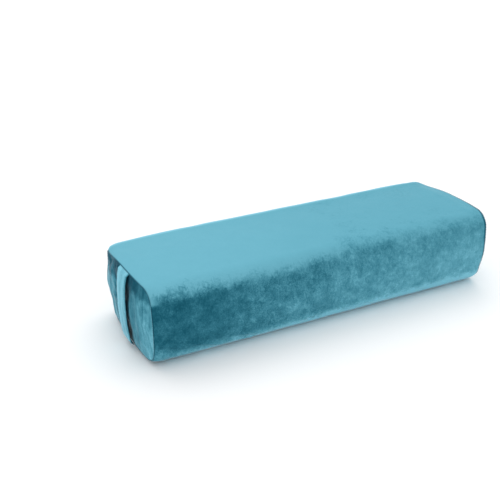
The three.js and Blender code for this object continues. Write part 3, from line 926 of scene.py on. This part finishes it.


# ---- materials
# Sizes inside the materials are in metres. A shade runs from 0, dark, to 1, light, and holds the nap's own
# tone together with painted light and shade.
TEAL = [
    (0.0, "0a485a"), (0.22, "185a6c"), (0.45, "307284"), (0.66, "4a8ea0"), (0.84, "64a8ba"), (1.0, "80c4d6"),
]
SHEEN_TINT = (0.78, 0.93, 1.0, 1)
TOP_SHEEN_TURN = (0.1135, 0.1375)  # heights between which the front's darker nap gives way to the top's painted sheen
STRAP_MID = STRAP_Y * MM


def pile(n, shade, sheen):
    """The velvet's colour and nap from its shade."""
    colour = n.ramp(shade, TEAL)
    nap = n.bump(n.noise(2400, 2, 0.6), 0.0004, 0.35)
    nap = n.bump(n.noise(160, 5, 0.65, 0.4), 0.0012, 0.25, nap)
    n.shader.inputs["Sheen Weight"].default_value = sheen
    n.shader.inputs["Sheen Roughness"].default_value = 0.22
    n.shader.inputs["Sheen Tint"].default_value = SHEEN_TINT
    n.shader.inputs["Specular IOR Level"].default_value = 0.08
    return n.finish(Base_Color=colour, Roughness=0.95, Normal=nap)


def mottle(n):
    """Brushed nap, about -1 to 1: broad patches, strokes and specks."""
    total = 0.0
    for value, weight in (
        (n.noise(10, 2, 0.5, 0.4), 0.9),
        (n.noise(45, 4, 0.6, 0.3), 1.4),
        (n.noise(170, 4, 0.65, 0.7, n.place((1, 1, 0.75))), 1.2),
        (n.noise(520, 3, 0.75, 0.2), 1.3),
    ):
        total = n.math("MULTIPLY_ADD", n.math("SUBTRACT", value, 0.5), weight, total)
    return total


def top_share(n, x, z):
    """1 on the top, which is painted lighter as its nap's sheen, and 0 on the sides. The ragged line between
    them climbs a little to the right.
    """
    stroke = n.noise(190, 5, 0.7, 0.9, n.place((1, 1, 0.6)))
    edge = n.math("MULTIPLY_ADD", n.math("SUBTRACT", stroke, 0.5), 0.036, z)
    edge = n.math("MULTIPLY_ADD", n.math("SUBTRACT", n.noise(24, 3), 0.5), 0.024, edge)
    rise = n.ease(x, -0.06, 0.07, -0.003, 0.008)
    on_top = n.ease(n.math("SUBTRACT", edge, rise), *TOP_SHEEN_TURN)
    by_end = n.ease(x, -0.332, -0.300, 1.0, 0.0)
    return n.math("MAXIMUM", on_top, n.math("MULTIPLY", by_end, n.ease(z, 0.112, 0.12)))


def side_shade(n, x, z, nap):
    """The sides: painted lighter to the right, with painted sheen along the foot and painted shade under the
    top.
    """
    along = n.math("ADD", n.ease(x, -0.33, 0.0, 0.33, 0.63), n.ease(x, -0.02, 0.3, 0.0, 0.13))
    foot = n.ease(n.math("SUBTRACT", z, n.ease(x, -0.33, -0.22, 0.012, 0.0)), 0.006, 0.036, 0.62, 0.0)
    foot = n.math("MULTIPLY", foot, n.ease(x, -0.335, -0.27, 0.35, 1.0))
    side = n.math("ADD", along, n.math("ADD", foot, n.ease(z, 0.05, 0.12, 0.0, -0.06)))
    return n.math("MULTIPLY_ADD", nap, n.ease(x, -0.2, 0.3, 0.52, 0.34), side)


def top_shade(n, x, y, z, nap):
    """The smooth top, painted light as its nap's sheen, with a painted highlight where the nap turns over
    along the back roll.
    """
    top = n.math("MULTIPLY_ADD", nap, 0.02, n.ease(x, -0.33, 0.33, 0.87, 0.81))
    return n.math("ADD", top, n.math("MULTIPLY", n.ease(y, 0.082, 0.096), n.ease(z, 0.128, 0.136, 0.0, 0.3)))


def seam_groove_shade(n, x, y, z):
    """Painted shade where the cloth turns into the end seams, which follow the ends' dome."""
    bulge, tight = END_BOW * MM, (2 / (WIDTH * MM)) ** 2
    swell_y = n.math("MULTIPLY", n.math("MULTIPLY", y, y), -bulge * tight)
    up = n.math("ADD", z, -HEIGHT * MM / 2)
    dome = n.math("MULTIPLY_ADD", n.math("MULTIPLY", up, up), -bulge / 2 * tight, swell_y)
    seam_at = n.math("ADD", n.math("MAXIMUM", n.math("ADD", dome, bulge), 0.0), LENGTH / 2 * MM)
    return n.ease(n.math("SUBTRACT", n.math("ABSOLUTE", x), seam_at), -0.0030, -0.0008, 0.0, -0.45)


def body_velvet():
    n = Nodes("velvet")
    x, y, z = n.axes()
    nap, groove_shade = mottle(n), seam_groove_shade(n, x, y, z)
    side = n.math("ADD", side_shade(n, x, z, nap), groove_shade)
    top = n.math("ADD", top_shade(n, x, y, z, nap), groove_shade)
    mixed = n.add("ShaderNodeMix")
    for index, value in ((0, top_share(n, x, z)), (2, side), (3, top)):
        n.put(mixed.inputs[index], value)
    return pile(n, n.math("ADD", mixed.outputs[0], 0.0, clamp=True), 0.75)


def end_velvet():
    n = Nodes("velvet_end")
    x, y, z = n.axes()
    streak = n.noise(75, 4, 0.6, 0.6, n.place((1, 1, 0.2)))
    shade = n.ease(y, -0.105, -0.035, 0.78, 0.52)
    back = n.ease(y, 0.012, 0.045, 0.0, 0.12)
    # Painted shade of a fold behind the strap's back edge, and in a wedge under the top seam that is deeper
    # at the back.
    beside = n.ease(n.math("ABSOLUTE", n.math("ADD", y, -0.021)), 0.004, 0.014, -0.30, 0.0)
    beside = n.math("MULTIPLY", beside, n.ease(z, 0.05, 0.10))
    wobble = n.math("MULTIPLY_ADD", n.math("SUBTRACT", n.noise(45, 4, 0.6), 0.5), 0.03, z)
    wedge = n.ease(n.math("MULTIPLY_ADD", y, 0.10, wobble), 0.104, 0.118, 0.0, -0.40)
    foot = n.ease(z, 0.01, 0.06, 0.10, 0.0)
    # The panel is painted dark under the strap, as the shade in the gap between them, over a little less
    # width near the foot.
    strap_gap_shade = n.math("ADD", n.math("ADD", y, -STRAP_MID), n.ease(z, 0.0, 0.09, -0.0075, 0.0))
    strap_gap_shade = n.ease(n.math("ABSOLUTE", strap_gap_shade), 0.0195, 0.0218, -0.8, 0.0)
    for value in (back, beside, wedge, foot, strap_gap_shade):
        shade = n.math("ADD", shade, value)
    shade = n.math("MULTIPLY_ADD", mottle(n), 0.30, shade)
    shade = n.math("MULTIPLY_ADD", n.math("SUBTRACT", streak, 0.5), 1.0, shade, clamp=True)
    return pile(n, shade, 0.5)


def strap_velvet():
    n = Nodes("velvet_strap")
    x, y, z = n.axes()
    # Painted shade along the strap's edges.
    edge = n.ease(n.math("ABSOLUTE", n.math("ADD", y, -STRAP_MID)), 0.0170, 0.0205, 0.0, -0.35)
    # Painted shade on the strap's faces that turn towards the end panel.
    facing = n.add("ShaderNodeSeparateXYZ")
    n.put(facing.inputs[0], n.add("ShaderNodeTexCoord").outputs["Normal"])
    outward = n.math("MULTIPLY", facing.outputs[0], n.math("SIGN", x))
    inner = n.ease(outward, -0.3, 0.2, -0.9, 0.0)
    streak = n.noise(95, 4, 0.6, 0.5, n.place((1, 1, 0.15)))
    # A painted highlight streak along the strap.
    lit = n.ease(n.math("ABSOLUTE", n.math("ADD", y, 0.004)), 0.002, 0.008, 0.12, 0.0)
    shade = n.math("ADD", n.math("ADD", n.math("ADD", 0.93, edge), lit), inner)
    shade = n.math("MULTIPLY_ADD", n.math("SUBTRACT", streak, 0.5), 0.5, shade)
    shade = n.math("MULTIPLY_ADD", mottle(n), 0.12, shade, clamp=True)
    return pile(n, shade, 0.7)


def thread_material():
    n = Nodes("thread")
    ply = n.noise(2600, 2, 0.5, 0.0, n.place((1, 3, 3)))
    colour = n.ramp(ply, [(0.3, "0f3c4e"), (0.7, "2b7188")])
    return n.finish(Base_Color=colour, Roughness=0.7, Normal=n.bump(ply, 0.0002, 0.5))


def weave(n, pitch):
    """Crossing threads along x and up the cloth, and their bump."""
    x, y, z = n.axes()
    warp = n.math("SINE", n.math("MULTIPLY", x, 2 * math.pi / pitch))
    weft = n.math("SINE", n.math("MULTIPLY", n.math("ADD", y, z), 2 * math.pi / pitch))
    cross = n.math("MULTIPLY", warp, weft)
    return n.math("MULTIPLY_ADD", cross, 0.5, 0.5), n.bump(cross, 0.0002, 0.5)


def woven(name, dark, light, pitch, rough):
    n = Nodes(name)
    pattern, normal = weave(n, pitch)
    cloudy = n.math("MULTIPLY_ADD", n.noise(70, 4, 0.6), 0.6, n.math("MULTIPLY", pattern, 0.4))
    n.shader.inputs["Sheen Weight"].default_value = 0.15
    colour = n.ramp(cloudy, [(0.25, dark), (0.8, light)])
    return n.finish(Base_Color=colour, Roughness=rough, Normal=normal)


def fibrous(name, dark, light, scale):
    n = Nodes(name)
    fibres = n.noise(scale, 8, 0.7, 2.5)
    n.shader.inputs["Sheen Weight"].default_value = 0.3
    return n.finish(Base_Color=n.ramp(fibres, [(0.3, dark), (0.7, light)]), Roughness=0.95,
                    Normal=n.bump(fibres, 0.001, 0.6))


def foam_material():
    n = Nodes("foam")
    cells = n.add("ShaderNodeTexVoronoi")
    n.put(cells.inputs["Vector"], n.place())
    cells.inputs["Scale"].default_value = 700
    holes = cells.outputs["Distance"]
    tone = n.math("MULTIPLY_ADD", n.noise(30, 3), 0.5, n.math("MULTIPLY", holes, 0.6))
    return n.finish(Base_Color=n.ramp(tone, [(0.2, "cdbf8f"), (0.8, "efe6c4")]), Roughness=0.95,
                    Normal=n.bump(holes, 0.0006, 0.5))


def coil_material():
    n = Nodes("zipper_coil")
    tone = n.noise(300, 3)
    n.shader.inputs["Specular IOR Level"].default_value = 0.6
    return n.finish(Base_Color=n.ramp(tone, [(0.3, "1d5a70"), (0.7, "34788e")]), Roughness=0.35)


def metal():
    n = Nodes("zipper_metal")
    brushed = n.noise(900, 4, 0.6, 0.0, n.place((1, 6, 6)))
    worn = n.noise(160, 4, 0.6)
    n.shader.inputs["Metallic"].default_value = 1.0
    rough = n.ease(worn, 0.35, 0.65, 0.22, 0.4)
    return n.finish(Base_Color=n.ramp(worn, [(0.35, "a9aeb2"), (0.65, "d5d8da")]), Roughness=rough,
                    Normal=n.bump(brushed, 0.0002, 0.3))


def floor_material():
    n = Nodes("floor_paper")
    tone = n.ease(n.noise(900, 4, 0.6), 0.3, 0.7, *FLOOR_TONES, "LINEAR")
    return n.finish(Base_Color=tone, Roughness=0.9)


def add_floor():
    corners = [(x * FLOOR_HALF, y * FLOOR_HALF, 0) for x, y in ((-1, -1), (1, -1), (1, 1), (-1, 1))]
    make("floor", corners, [(0, 1, 2, 3)], floor_material(), body=None)


STOPPERS = ("zipper_top_stop_upper", "zipper_top_stop_lower", "zipper_bottom_stop")
EDGE_BEVEL = 0.12


def finish_metal(material):
    """The slider, tab and stops keep their CAD shapes, with softened edges."""
    for name in ("zipper_slider", "zipper_pull_tab") + STOPPERS:
        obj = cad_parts[name]
        obj.data.materials.clear()
        obj.data.materials.append(material)
        bevel = obj.modifiers.new("soft_edges", "BEVEL")
        bevel.width = EDGE_BEVEL * MM
        bevel.segments = 2
        bevel.limit_method = "ANGLE"


add_camera()
add_lights()
add_floor()
sewing = thread_material()
build_cover(body_velvet(), end_velvet())
build_seams(sewing)
strap_cloth = strap_velvet()
build_strap(-1, "left", strap_cloth, sewing)
build_strap(1, "right", strap_cloth, sewing)
build_zipper(woven("zipper_tape", "1a566c", "39829a", 0.0009, 0.85), coil_material(), sewing)
finish_metal(metal())
build_inside(woven("cotton", "d9d6cc", "f4f2ea", 0.0007, 0.9), fibrous("wadding", "dfe1e0", "fbfbfa", 90),
             foam_material(), woven("label", "e6e6e4", "fbfbfb", 0.0006, 0.5))
